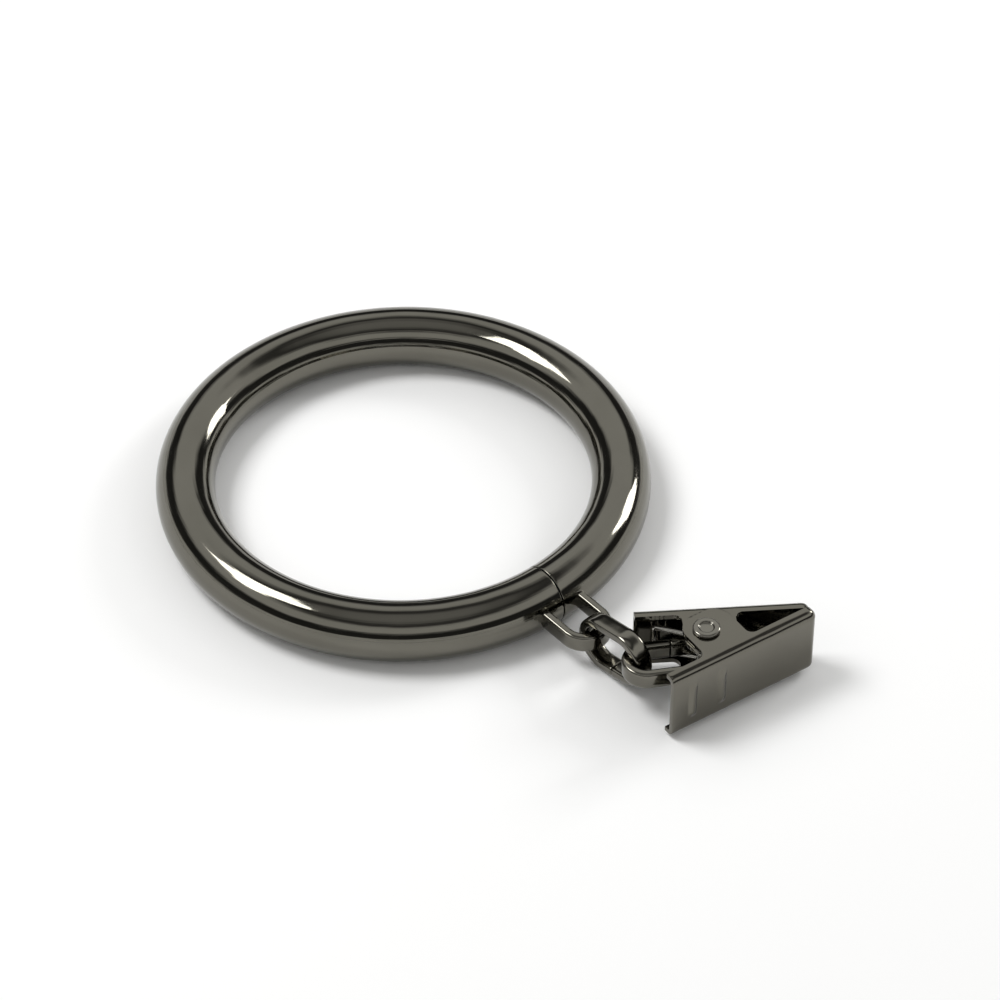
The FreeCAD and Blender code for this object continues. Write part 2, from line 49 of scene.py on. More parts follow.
class Slot(Enum):
    """Material slots, which key the finishes."""

    RING = "ring_nickel"
    WIRE = "wire_nickel"
    SHEET = "sheet_nickel"
    PIN = "pin_nickel"
    SPRING = "spring_steel"


class Body(Enum):
    """Bodies of the CAD frame."""

    RING = "ring_body"
    UPPER_LINK = "upper_link_body"
    LOWER_LINK = "lower_link_body"
    CLIP = "clip_body"
    OUTER_JAW = "outer_jaw_body"


@dataclass(frozen=True)
class Layout:
    """Sizes shared by several pieces, in millimetres and degrees."""

    ring_radius: float = 22.0
    tube_radius: float = 3.0
    wire_thick: float = 1.0
    wire_width: float = 1.9
    eyelet_inner: float = 1.7
    eyelet_apex: float = 30.6
    wire_round: float = 0.4
    link_play: float = 0.15
    upper_inner: tuple = (3.8, 7.0)
    lower_inner: tuple = (2.8, 8.2)
    pin_link_play: float = 0.15
    lower_heading: float = -30.0
    clip_heading: float = -21.0
    jaw_half_angle: float = 14.5
    nose: float = 10.4
    lip_depth: float = 1.2
    sheet: float = 0.5
    pin_radius: float = 0.85
    head_thick: float = 0.35
    spring_radius: float = 0.3
    coil_radius: float = 1.25
    coil_spacing: float = 0.62
    arm_place: float = 4.6
    arm_gap: float = 0.08
    coil_gap: float = 0.15
    coil_jaw_gap: float = 0.19
    lip_gap: float = 0.1
    jaw_gap: float = 0.1
    pin_play: float = 0.1

    @property
    def link_room(self) -> float:
        """Distance from a hinge line to the inner side of the link's end.

        Returns:
            The distance in millimetres.
        """
        corner = np.hypot(self.wire_thick, self.wire_width) / 2 - (np.sqrt(2) - 1) * self.wire_round
        return float(corner + self.link_play)

    @property
    def lip(self) -> float:
        """Height of a jaw's lip over the pin's axis.

        Returns:
            The height in millimetres.
        """
        angle = np.radians(self.jaw_half_angle)
        return float(self.nose * np.tan(angle) + self.lip_gap / np.cos(angle))

    @property
    def plate(self) -> float:
        """Height of a jaw's plate over the pin's axis.

        Returns:
            The height in millimetres.
        """
        return self.lip + self.lip_depth

    @property
    def arm_end(self) -> tuple:
        """Where the spring's legs end, as x and y in the clip's frame.

        Returns:
            The two coordinates in millimetres.
        """
        half = np.radians(self.jaw_half_angle)
        lift = self.plate - self.sheet - self.spring_radius - self.arm_gap
        return (
            float(-self.arm_place * np.cos(half) + lift * np.sin(half)),
            float(self.arm_place * np.sin(half) + lift * np.cos(half)),
        )

    @property
    def leave_angle(self) -> float:
        """Angle at which the spring's legs leave the coils, in degrees.

        Returns:
            The angle.
        """
        end_x, end_y = self.arm_end
        beside = np.arccos(self.coil_radius / np.hypot(end_x, end_y))
        return float(np.degrees(np.arctan2(end_y, end_x) - beside))

    @property
    def coil_low(self) -> float:
        """Height of a coil's inner end over the clip's middle plane.

        Returns:
            The height in millimetres.
        """
        return self.wire_width / 2 + self.coil_gap + self.spring_radius

    @property
    def coil_turn(self) -> float:
        """How far a coil turns, in degrees.

        Returns:
            The angle.
        """
        return 360.0 + 2 * self.leave_angle

    @property
    def inner_width(self) -> float:
        """Width of the inner jaw.

        Returns:
            The width in millimetres.
        """
        top = self.coil_low + self.coil_spacing * self.coil_turn / 360 + self.spring_radius
        return 2 * (top + self.coil_jaw_gap + self.sheet)

    @property
    def outer_width(self) -> float:
        """Width of the outer jaw.

        Returns:
            The width in millimetres.
        """
        return self.inner_width + 2 * self.jaw_gap + 2 * self.sheet

    @property
    def pin_length(self) -> float:
        """Length of the pin over its heads.

        Returns:
            The length in millimetres.
        """
        return self.outer_width + 2 * self.head_thick + self.pin_play

    @property
    def rise(self) -> float:
        """Height of the clip's middle plane over the ring's.

        Returns:
            The height in millimetres.
        """
        return self.pin_length / 2 - self.tube_radius


LAYOUT = Layout()


@dataclass(frozen=True)
class Place:
    """A place in the row frame: an origin in millimetres and the rows of a rotation matrix."""

    origin: tuple
    turn: tuple

    def put(self, points: np.ndarray) -> np.ndarray:
        """Move points from the piece's own frame to the row frame.

        Args:
            points: Array whose last axis holds x, y and z.

        Returns:
            Array of the same shape in the row frame.
        """
        return points @ np.array(self.turn).T + np.array(self.origin)


def turn_about(axis: str, degrees: float) -> np.ndarray:
    """Rotation matrix about one of the row's axes.

    Args:
        axis: "x", "y" or "z".
        degrees: Angle by the right-hand rule.

    Returns:
        The 3 by 3 matrix.
    """
    angle = np.radians(degrees)
    cosine, sine = np.cos(angle), np.sin(angle)
    first, second = {"x": (1, 2), "y": (2, 0), "z": (0, 1)}[axis]
    matrix = np.eye(3)
    matrix[first, first] = matrix[second, second] = cosine
    matrix[first, second] = -sine
    matrix[second, first] = sine
    return matrix


def make_place(origin: np.ndarray, matrix: np.ndarray) -> Place:
    """Pack an origin and a matrix as a Place.

    Args:
        origin: Origin in millimetres.
        matrix: Rotation matrix.

    Returns:
        The place.
    """
    return Place(tuple(float(x) for x in origin), tuple(tuple(float(x) for x in row) for row in matrix))


def chain_places() -> dict:
    """Places of the chain and the clip, worked out from the eyelet outwards.

    Returns:
        Place of each piece by name.
    """
    upper_reach = LAYOUT.upper_inner[1] - LAYOUT.link_room + LAYOUT.wire_thick / 2
    upper = np.array([0.0, -LAYOUT.eyelet_apex + LAYOUT.wire_thick / 2, 0.0])
    tilt = np.degrees(np.arcsin(LAYOUT.rise / upper_reach))
    lower = upper + [0.0, -upper_reach * np.cos(np.radians(tilt)), LAYOUT.rise]
    lower_reach = LAYOUT.lower_inner[1] - LAYOUT.link_room - LAYOUT.pin_radius - LAYOUT.pin_link_play
    heading = np.radians(LAYOUT.lower_heading)
    pin = lower + lower_reach * np.array([np.cos(heading), np.sin(heading), 0.0])
    clip = turn_about("z", LAYOUT.clip_heading)
    half = LAYOUT.jaw_half_angle
    return {
        "upper_link": make_place(upper, turn_about("x", -tilt) @ turn_about("y", 90)),
        "lower_link": make_place(lower, turn_about("z", LAYOUT.lower_heading + 90)),
        "outer_jaw": make_place(pin, clip @ turn_about("z", half) @ turn_about("x", 180)),
        "inner_jaw": make_place(pin, clip @ turn_about("z", -half)),
        "pin": make_place(pin, clip),
    }


def mesh_object(name: str, points: np.ndarray, quads: np.ndarray) -> bpy.types.Object:
    """Make a smooth shaded mesh object from whole arrays.

    Args:
        name: Object name.
        points: Points in millimetres, one a row.
        quads: Four point numbers a row.

    Returns:
        The linked object.
    """
    mesh = bpy.data.meshes.new(name)
    mesh.vertices.add(len(points))
    mesh.vertices.foreach_set("co", (points * MM).astype(np.float32).ravel())
    mesh.loops.add(quads.size)
    mesh.loops.foreach_set("vertex_index", quads.astype(np.int32).ravel())
    mesh.polygons.add(len(quads))
    mesh.polygons.foreach_set("loop_start", np.arange(0, quads.size, 4, dtype=np.int32))
    mesh.polygons.foreach_set("use_smooth", np.ones(len(quads), dtype=bool))
    mesh.update(calc_edges=True)
    mesh.validate()
    piece = bpy.data.objects.new(name, mesh)
    bpy.context.scene.collection.objects.link(piece)
    return piece


def grid_quads(rows: int, columns: int, wrap_columns: bool = False) -> np.ndarray:
    """Quads of a grid of points numbered row by row.

    Args:
        rows: Number of rows.
        columns: Number of columns.
        wrap_columns: Join the last column to the first.

    Returns:
        Array of four point numbers a quad.
    """
    column = np.arange(columns if wrap_columns else columns - 1)
    row, column = [part.ravel() for part in np.meshgrid(np.arange(rows - 1), column, indexing="ij")]
    below, beside = row + 1, (column + 1) % columns
    return np.stack(
        [row * columns + column, row * columns + beside, below * columns + beside, below * columns + column],
        axis=1,
    )


def finish_piece(
    piece: bpy.types.Object, body: Body, slot: Slot, material: bpy.types.Material, *nodes: str
) -> None:
    """Give a piece its body and material, and let it stand for CAD nodes.

    Args:
        piece: The object.
        body: Body that it rides on.
        slot: Not used.
        material: Its material.
        nodes: CAD nodes that it stands for.
    """
    piece.data.materials.append(material)
    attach(piece, body.value)
    if nodes:
        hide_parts(*nodes)
    LOG.info("%s: %d points", piece.name, len(piece.data.vertices))


@dataclass(frozen=True)
class MetalFinish:
    """Polished plating with faint scratches, haze, waviness and colour drift.

    Scales are repeats a metre, depths are metres, and haze is added to the roughness.
    """

    name: str
    color: tuple
    drift: tuple
    roughness: float
    haze: float
    scratch_scale: float
    scratch_depth: float
    waves: float = 0.25
    tube_lines: float = 0.0
    tone_scale: float = 140.0
    haze_scale: float = 420.0
    haze_from: tuple = (0.35, 0.75)
    wave_scale: float = 260.0
    wave_depth: float = 0.00035
    line_scale: float = 1800.0
    line_depth: float = 0.00012
    scratch_relief: float = 0.00002
    scratch_stretch: tuple = (1.0, 1.0, 6.0)

    def noise(self, material: bpy.types.Material, place: Socket, scale: float, detail: float) -> Socket:
        """Noise pattern in the object's own coordinates.

        Args:
            material: The material it belongs to.
            place: Socket with the coordinates.
            scale: Repeats a metre.
            detail: Octaves.

        Returns:
            Socket with values around a half.
        """
        pattern = material.node_tree.nodes.new("ShaderNodeTexNoise")
        pattern.inputs["Scale"].default_value = scale
        pattern.inputs["Detail"].default_value = detail
        material.node_tree.links.new(place, pattern.inputs["Vector"])
        return pattern.outputs["Fac"]

    def math(
        self, material: bpy.types.Material, operation: str, first: Socket, second: Socket | float
    ) -> Socket:
        """Arithmetic on a socket and a second input.

        Args:
            material: The material it belongs to.
            operation: Name of the operation.
            first: First input.
            second: Second input, a socket or a number.

        Returns:
            Socket with the result.
        """
        node = material.node_tree.nodes.new("ShaderNodeMath")
        node.operation = operation
        material.node_tree.links.new(first, node.inputs[0])
        if isinstance(second, float):
            node.inputs[1].default_value = second
        else:
            material.node_tree.links.new(second, node.inputs[1])
        return node.outputs["Value"]

    def around_tube(self, material: bpy.types.Material, place: Socket) -> Socket:
        """Coordinates that change only around the bent tube's section.

        Args:
            material: The material it belongs to.
            place: Socket with the object's coordinates.

        Returns:
            Socket with the place on a straight tube's section, in metres.
        """
        nodes = material.node_tree.nodes
        links = material.node_tree.links
        split = nodes.new("ShaderNodeSeparateXYZ")
        links.new(place, split.inputs["Vector"])
        x_squared = self.math(material, "MULTIPLY", split.outputs["X"], split.outputs["X"])
        y_squared = self.math(material, "MULTIPLY", split.outputs["Y"], split.outputs["Y"])
        radius = self.math(material, "SQRT", self.math(material, "ADD", x_squared, y_squared), 0.0)
        outwards = self.math(material, "SUBTRACT", radius, LAYOUT.ring_radius * MM)
        join = nodes.new("ShaderNodeCombineXYZ")
        links.new(outwards, join.inputs["X"])
        links.new(split.outputs["Z"], join.inputs["Z"])
        return join.outputs["Vector"]

    def bump(
        self, material: bpy.types.Material, height: Socket, strength: float, depth: float,
        under: Socket | None = None,
    ) -> Socket:
        """Relief from a pattern.

        Args:
            material: The material it belongs to.
            height: Socket with the pattern.
            strength: Share of the relief.
            depth: Depth in metres.
            under: Socket with the normal of the relief beneath it.

        Returns:
            Socket with the normal.
        """
        node = material.node_tree.nodes.new("ShaderNodeBump")
        node.inputs["Strength"].default_value = strength
        node.inputs["Distance"].default_value = depth
        material.node_tree.links.new(height, node.inputs["Height"])
        if under is not None:
            material.node_tree.links.new(under, node.inputs["Normal"])
        return node.outputs["Normal"]

    def material(self) -> bpy.types.Material:
        """Build the node material.

        Returns:
            The material, whose patterns read object coordinates.
        """
        material = bpy.data.materials.new(self.name)
        material.use_nodes = True
        nodes = material.node_tree.nodes
        links = material.node_tree.links
        shader = nodes["Principled BSDF"]
        shader.inputs["Metallic"].default_value = 1.0
        place = nodes.new("ShaderNodeTexCoord").outputs["Object"]

        tone = nodes.new("ShaderNodeMix")
        tone.data_type = "RGBA"
        tone.inputs["A"].default_value = (*self.color, 1.0)
        tone.inputs["B"].default_value = (*self.drift, 1.0)
        links.new(self.noise(material, place, self.tone_scale, 4.0), tone.inputs["Factor"])
        links.new(tone.outputs["Result"], shader.inputs["Base Color"])

        rough = nodes.new("ShaderNodeMapRange")
        rough.inputs["From Min"].default_value, rough.inputs["From Max"].default_value = self.haze_from
        rough.inputs["To Min"].default_value = self.roughness
        rough.inputs["To Max"].default_value = self.roughness + self.haze
        links.new(self.noise(material, place, self.haze_scale, 6.0), rough.inputs["Value"])
        links.new(rough.outputs["Result"], shader.inputs["Roughness"])

        wave = self.noise(material, place, self.wave_scale, 1.0)
        normal = self.bump(material, wave, self.waves, self.wave_depth)
        if self.tube_lines:
            lines = self.noise(material, self.around_tube(material, place), self.line_scale, 3.0)
            normal = self.bump(material, lines, self.tube_lines, self.line_depth, normal)
        stretch = nodes.new("ShaderNodeMapping")
        stretch.inputs["Scale"].default_value = self.scratch_stretch
        links.new(place, stretch.inputs["Vector"])
        scratch = self.noise(material, stretch.outputs["Vector"], self.scratch_scale, 3.0)
        normal = self.bump(material, scratch, self.scratch_depth, self.scratch_relief, normal)
        links.new(normal, shader.inputs["Normal"])
        return material


FINISHES = {
    Slot.RING: MetalFinish(
        "ring_dark_nickel", (0.128, 0.123, 0.103), (0.168, 0.161, 0.138), 0.06, 0.06, 900.0, 0.10,
        waves=0.15, tube_lines=0.18,
    ),
    Slot.WIRE: MetalFinish(
        "wire_dark_nickel", (0.135, 0.129, 0.108), (0.176, 0.169, 0.146), 0.07, 0.08, 1500.0, 0.15
    ),
    Slot.SHEET: MetalFinish(
        "sheet_dark_nickel", (0.136, 0.129, 0.107), (0.172, 0.164, 0.140), 0.08, 0.08, 1200.0, 0.15
    ),
    Slot.PIN: MetalFinish(
        "pin_dark_nickel", (0.165, 0.158, 0.135), (0.205, 0.197, 0.172), 0.07, 0.08, 1500.0, 0.15
    ),
    Slot.SPRING: MetalFinish(
        "spring_bright", (0.32, 0.31, 0.285), (0.40, 0.39, 0.36), 0.12, 0.08, 1800.0, 0.20
    ),
}


@dataclass
class Ring:
    """Tube bent to a circle, its two ends meeting at a seam behind the eyelet."""

    material: bpy.types.Material
    gap: float = 0.12
    edge: float = 0.1
    pole: float = 0.01
    steps: int = 640
    sides: int = 96

    def build(self) -> None:
        """Make the tube as one swept circle.

        The centre line is a circle about the origin. The tube's radius is
        constant along it, follows a quarter round at each end and then falls
        to nothing, which closes the end.
        """
        length = 2 * np.pi * LAYOUT.ring_radius - self.gap
        turn = np.linspace(0.0, np.pi / 2, 9)
        start = self.edge * (1 - np.cos(turn))
        run = np.linspace(self.edge, length - self.edge, self.steps)[1:-1]
        along = np.concatenate([[0.0, 0.0], start, run, length - start[::-1], [length, length]])
        falling = LAYOUT.tube_radius - self.edge * (1 - np.sin(turn))
        core = [self.pole, LAYOUT.tube_radius - 2 * self.edge]
        level = np.full(len(run), LAYOUT.tube_radius)
        radius = np.concatenate([core, falling, level, falling[::-1], core[::-1]])
        angle = -np.pi / 2 + (along + self.gap / 2) / LAYOUT.ring_radius
        around = np.linspace(0.0, 2 * np.pi, self.sides, endpoint=False)
        distance = LAYOUT.ring_radius + radius[:, None] * np.cos(around)
        points = np.stack(
            [
                distance * np.cos(angle)[:, None],
                distance * np.sin(angle)[:, None],
                radius[:, None] * np.sin(around),
            ],
            axis=-1,
        )
        quads = grid_quads(len(along), self.sides, wrap_columns=True)
        piece = mesh_object("ring", points.reshape(-1, 3), quads)
        finish_piece(piece, Body.RING, Slot.RING, self.material, "ring_tube")


@dataclass(frozen=True)
class FlatWire:
    """Flattened wire: its section is a superellipse, flat sided with soft corners."""

    thick: float = LAYOUT.wire_thick
    width: float = LAYOUT.wire_width
    power: float = 4.2
    sides: int = 40

    def section(self) -> np.ndarray:
        """Section about its own centre.

        Returns:
            Array of (across the thickness, along the width) a point.
        """
        angle = np.linspace(0.0, 2 * np.pi, self.sides, endpoint=False)
        cosine, sine = np.cos(angle), np.sin(angle)
        reach = (np.abs(cosine) ** self.power + np.abs(sine) ** self.power) ** (-1 / self.power)
        return np.stack([reach * cosine * self.thick / 2, reach * sine * self.width / 2], axis=1)

    def sweep(self, path: np.ndarray, shrink: np.ndarray) -> np.ndarray:
        """Carry the section along a flat path in the XY plane, its width along Z.

        Args:
            path: Centre line, x and y a point.
            shrink: How far the section is drawn in at each point of the path.

        Returns:
            Array of path points by section points by 3.
        """
        along = np.gradient(path, axis=0)
        along /= np.linalg.norm(along, axis=1)[:, None]
        side = np.stack([along[:, 1], -along[:, 0]], axis=1)
        section = self.section()
        scale_thick = 1 - 2 * shrink / self.thick
        scale_width = 1 - 2 * shrink / self.width
        flat = path[:, None, :] + side[:, None, :] * (section[None, :, 0] * scale_thick[:, None])[..., None]
        height = section[None, :, 1] * scale_width[:, None]
        return np.concatenate([flat, height[..., None]], axis=-1)


def rounded_ends(along: np.ndarray, edge: float) -> np.ndarray:
    """How far a swept section is drawn in near both ends of its path.

    Args:
        along: Distance along the path of each point.
        edge: Radius of the rounding.

    Returns:
        The draw-in a point, a quarter round that reaches edge at the ends.
    """
    inside = np.clip(np.minimum(along, along[-1] - along), 0.0, edge)
    return edge - np.sqrt(edge ** 2 - (edge - inside) ** 2)


def end_steps(length: float, edge: float, count: int) -> np.ndarray:
    """Distances along a path, crowded at both ends.

    Args:
        length: Length of the path.
        edge: Length of the crowded stretch.
        count: Number of points between the crowded stretches.

    Returns:
        Rising distances from 0 to length.
    """
    crowded = (edge * (1 - np.cos(np.linspace(0.0, np.pi / 2, 6))))[:-1]
    return np.concatenate([crowded, np.linspace(edge, length - edge, count), (length - crowded)[::-1]])


def racetrack(distance: np.ndarray, radius: float, straight: float) -> np.ndarray:
    """Points of an upright racetrack line, from the middle of its right side upwards.

    Args:
        distance: Distances along the line.
        radius: Radius of both half circles.
        straight: Length of each straight side.

    Returns:
        Array of x and y a point, about the racetrack's centre.
    """
    half = straight / 2
    arc = np.pi * radius
    x = np.empty_like(distance)
    y = np.empty_like(distance)
    bounds = np.cumsum([half, arc, straight, arc, half])
    part = np.searchsorted(bounds, distance, side="right")
    since = distance - np.concatenate([[0.0], bounds])[np.clip(part, 0, 5)]
    turn = since / radius
    right = np.full_like(since, radius)
    cases = [
        (right, since),
        (radius * np.cos(turn), half + radius * np.sin(turn)),
        (-right, half - since),
        (-radius * np.cos(turn), -half - radius * np.sin(turn)),
        (right, -half + since),
    ]
    for index, (case_x, case_y) in enumerate(cases):
        chosen = (part == index) | ((part > 4) & (index == 4))
        x[chosen] = case_x[chosen]
        y[chosen] = case_y[chosen]
    return np.stack([x, y], axis=1)


@dataclass
class OvalLink:
    """Oval link bent from flattened wire, closed by a butt joint in one long side."""

    name: str
    node: str
    body: Body
    place: Place
    material: bpy.types.Material
    inner: tuple
    seam: float = 0.07
    edge: float = 0.12
    cap: float = 0.49
    steps: int = 260
    wire: FlatWire = field(default_factory=FlatWire)

    def build(self) -> None:
        """Sweep the wire's section round a racetrack line with a narrow gap."""
        inner_width, inner_length = self.inner
        radius = (inner_width + self.wire.thick) / 2
        straight = inner_length - inner_width
        length = 2 * straight + 2 * np.pi * radius - self.seam
        along = end_steps(length, self.edge, self.steps)
        path = racetrack(along + self.seam / 2, radius, straight)
        path[:, 1] += LAYOUT.link_room - inner_length / 2
        points = self.wire.sweep(path, rounded_ends(along, self.edge))
        closed = np.full(2, self.cap)
        first, last = self.wire.sweep(path[:2], closed)[:1], self.wire.sweep(path[-2:], closed)[1:]
        points = np.concatenate([first, points, last])
        quads = grid_quads(len(points), self.wire.sides, wrap_columns=True)
        piece = mesh_object(self.name, self.place.put(points.reshape(-1, 3)), quads)
        finish_piece(piece, self.body, Slot.WIRE, self.material, self.node)


@dataclass
class Eyelet:
    """Loop of flattened wire whose legs enter the tube and turn outwards inside it."""

    material: bpy.types.Material
    foot_depth: float = 1.3
    foot_length: float = 1.2
    bend: float = 0.52
    edge: float = 0.1
    loop_steps: int = 60
    leg_steps: int = 40
    bend_steps: int = 14
    foot_steps: int = 8
    wire: FlatWire = field(default_factory=FlatWire)

    def build(self) -> None:
        """Sweep the wire round a half circle, down both legs and out along the feet."""
        radius = LAYOUT.eyelet_inner + self.wire.thick / 2
        centre = -LAYOUT.eyelet_apex + radius + self.wire.thick / 2
        foot = self.foot_depth - LAYOUT.ring_radius - LAYOUT.tube_radius + self.wire.thick / 2
        bend = self.bend
        half = np.linspace(0.0, np.pi / 2, self.loop_steps)
        loop = np.stack([radius * np.sin(half), centre - radius * np.cos(half)], axis=1)
        down = np.linspace(centre, foot - bend, self.leg_steps + 1)[1:]
        leg = np.stack([np.full_like(down, radius), down], axis=1)
        corner = np.linspace(0.0, np.pi / 2, self.bend_steps)[1:]
        turn = np.stack([radius + bend * (1 - np.cos(corner)), foot - bend + bend * np.sin(corner)], axis=1)
        tip = LAYOUT.eyelet_inner + self.wire.thick + self.foot_length
        out = np.linspace(radius + bend, tip, self.foot_steps + 1)[1:]
        toe = np.stack([out, np.full_like(out, foot)], axis=1)
        right = np.concatenate([loop, leg, turn, toe])
        path = np.concatenate([(right * [-1, 1])[:0:-1], right])
        along = np.concatenate([[0.0], np.cumsum(np.linalg.norm(np.diff(path, axis=0), axis=1))])
        points = self.wire.sweep(path, rounded_ends(along, self.edge))
        quads = grid_quads(len(path), self.wire.sides, wrap_columns=True)
        piece = mesh_object("eyelet_loop", points.reshape(-1, 3), quads)
        finish_piece(piece, Body.RING, Slot.WIRE, self.material, "eyelet")


@dataclass
class SheetJaw:
    """Jaw folded from sheet: plate, two flanges with ears, a toothed nose, pressed ribs."""

    name: str
    node: str
    body: Body
    place: Place
    material: bpy.types.Material
    width: float
    plate: float = LAYOUT.plate
    nose: float = LAYOUT.nose
    lip: float = LAYOUT.lip
    tail: float = -6.6
    bend: float = 0.8
    ear_front: float = 3.1
    ear_rear: float = -2.1
    ear_reach: float = -2.3
    ear_round: float = 1.9
    ear_side: float = 0.7
    ear_tip: float = 1.4
    neck_round: float = 0.8
    tooth_pitch: float = 1.1
    tooth_depth: float = 0.4
    ribs: tuple = (-4.3, -0.9)
    rib_width: float = 1.0
    rib_height: float = 0.25
    rib_length: float = 4.8
    rib_fade: float = 1.0
    rib_reach: float = 0.7
    tooth_half: float = 0.45
    broken_edge: float = 0.08
    flange_rows: int = 16
    side_steps: int = 12
    round_steps: int = 20
    bend_steps: int = 10
    rib_steps: int = 29
    coarse_step: float = 0.3
    plate_steps: int = 37
    fade_steps: int = 17

    def lower_edge(self) -> tuple:
        """Lower edge of a flange and the point above it where its grid line starts.

        Returns:
            Three arrays: the start's x on the bend line, the edge's x, the edge's y.
        """
        lip, reach = self.lip, self.ear_reach
        front, rear = self.ear_front, self.ear_rear
        neck, ear = self.neck_round, self.ear_round
        side, tip = self.ear_side, self.ear_side + self.ear_tip
        quarter = np.linspace(0.0, np.pi / 2, self.round_steps)
        sine, cosine = np.sin(quarter), np.cos(quarter)
        steps, rounds = self.side_steps, self.round_steps
        shoulder, corner = lip - neck, reach + ear
        rear_run = self.stations(self.tail, rear - neck)
        front_run = self.stations(front + neck, self.nose - self.bend)
        rear_neck, front_neck = rear - neck + neck * sine, front + neck - neck * cosine
        down = np.linspace(shoulder, corner, steps)
        pieces = [
            (rear_run, rear_run, np.full(len(rear_run), lip)),
            (rear_neck, rear_neck, shoulder + neck * cosine),
            (np.linspace(rear, rear + side, steps), np.full(steps, rear), down),
            (np.linspace(rear + side, rear + tip, rounds), rear + ear - ear * cosine, corner - ear * sine),
            (
                np.linspace(rear + tip, front - tip, steps),
                np.linspace(rear + ear, front - ear, steps),
                np.full(steps, reach),
            ),
            (
                np.linspace(front - tip, front - side, rounds),
                front - ear + ear * sine,
                corner - ear * cosine,
            ),
            (np.linspace(front - side, front, steps), np.full(steps, front), down[::-1]),
            (front_neck, front_neck, shoulder + neck * sine),
            (front_run, front_run, np.full(len(front_run), lip)),
        ]
        return tuple(
            np.concatenate([part[k] if index == 0 else part[k][1:] for index, part in enumerate(pieces)])
            for k in range(3)
        )

    def stations(self, start: float, end: float) -> np.ndarray:
        """Places along the jaw, dense where its ribs are.

        Args:
            start: First place.
            end: Last place.

        Returns:
            Rising places from start to end.
        """
        coarse = np.linspace(start, end, max(int((end - start) / self.coarse_step), 2))
        reach = self.rib_reach
        fine = np.concatenate([np.linspace(rib - reach, rib + reach, self.rib_steps) for rib in self.ribs])
        fine = fine[(fine > start + 0.02) & (fine < end - 0.02)]
        return np.unique(np.round(np.concatenate([coarse, fine]), 4))

    def rib_rise(self, x: np.ndarray, z: np.ndarray) -> np.ndarray:
        """How far the plate is pressed out.

        Args:
            x: Places along the jaw.
            z: Places across it.

        Returns:
            Rise: the rib's height, times an arch across it, (1 - u^2)^1.3 with u the
            share of its half width, times a fade at its ends, t^2 (3 - 2 t) with t the
            share of the fade's length from the rib's end.
        """
        rise = np.zeros(np.broadcast(x, z).shape)
        half = self.rib_width / 2
        for rib in self.ribs:
            arch = (1 - np.clip(np.abs(x - rib) / half, 0.0, 1.0) ** 2) ** 1.3
            ends = np.clip((self.rib_length / 2 - np.abs(z)) / self.rib_fade, 0.0, 1.0)
            rise += self.rib_height * arch * ends ** 2 * (3 - 2 * ends)
        return rise

    @property
    def tooth_count(self) -> int:
        """Number of V notches across the lip.

        Returns:
            The number.
        """
        return int((self.width - 2 * self.bend) / self.tooth_pitch) + 1

    def across(self) -> np.ndarray:
        """Places across the plate and the lip, the corners of the teeth among them.

        Returns:
            Rising places from one bend to the other.
        """
        half = self.width / 2 - self.bend
        centres = (np.arange(self.tooth_count) - (self.tooth_count - 1) / 2) * self.tooth_pitch
        notch = np.array([-self.tooth_half, 0.0, self.tooth_half]) * self.tooth_pitch
        corners = (centres[:, None] + notch).ravel()
        corners = corners[np.abs(corners) < half]
        tip = np.linspace(self.rib_length / 2 - self.rib_fade, self.rib_length / 2, self.fade_steps)
        every = np.concatenate([np.linspace(-half, half, self.plate_steps), corners, tip, -tip])
        return np.unique(np.round(every[np.abs(every) <= half], 3))

    def tooth_edge(self, z: np.ndarray) -> np.ndarray:
        """Height of the lip's toothed edge.

        Args:
            z: Places across the nose.

        Returns:
            Height over the pin's axis: the lip's edge, with a V notch at each pitch.
        """
        last = self.tooth_count - 1
        offset = last / 2 * self.tooth_pitch
        nearest = np.clip(np.round((z + offset) / self.tooth_pitch), 0, last) * self.tooth_pitch - offset
        share = np.abs(z - nearest) / (self.tooth_half * self.tooth_pitch)
        return self.lip + self.tooth_depth * np.clip(1 - share, 0.0, 1.0)

    def build(self) -> None:
        """Lay a grid over the folded sheet's outer face, then give it its thickness.

        Each grid line runs from one flange's lower edge up, over the bend,
        across the plate and down the other side. At the nose all the lines
        turn forwards by a quarter round, and the plate's ones go on down the
        nose to the toothed edge.
        """
        start_x, edge_x, edge_y = self.lower_edge()
        top = self.plate - self.bend
        half = self.width / 2 - self.bend
        share = np.linspace(0.0, 1.0, self.flange_rows)
        flange_x = edge_x[:, None] + (start_x - edge_x)[:, None] * share
        flange_y = edge_y[:, None] + (top - edge_y)[:, None] * share
        bend = np.linspace(0.0, np.pi / 2, self.bend_steps)[1:-1]
        z = self.across()
        rows = len(start_x)
        lines = len(z) + 2 * len(bend)
        middle_x = np.repeat(start_x[:, None], lines, axis=1)
        core_x = np.concatenate([flange_x, middle_x, flange_x[:, ::-1]], axis=1)
        core_y = np.concatenate([flange_y, np.full((rows, lines), top), flange_y[:, ::-1]], axis=1)
        edge = np.full(self.flange_rows + len(bend), half)
        core_z = np.concatenate([-edge, z, edge])
        flat = np.zeros(self.flange_rows)
        normal_y = np.concatenate([flat, np.sin(bend), np.ones(len(z)), np.sin(bend)[::-1], flat])
        normal_z = np.concatenate([flat - 1, -np.cos(bend), np.zeros(len(z)), np.cos(bend)[::-1], flat + 1])
        pressed = self.rib_rise(core_x, core_z) * normal_y
        body = np.stack(
            [
                core_x,
                core_y + self.bend * normal_y + pressed,
                np.broadcast_to(core_z + self.bend * normal_z, core_x.shape),
            ],
            axis=-1,
        )

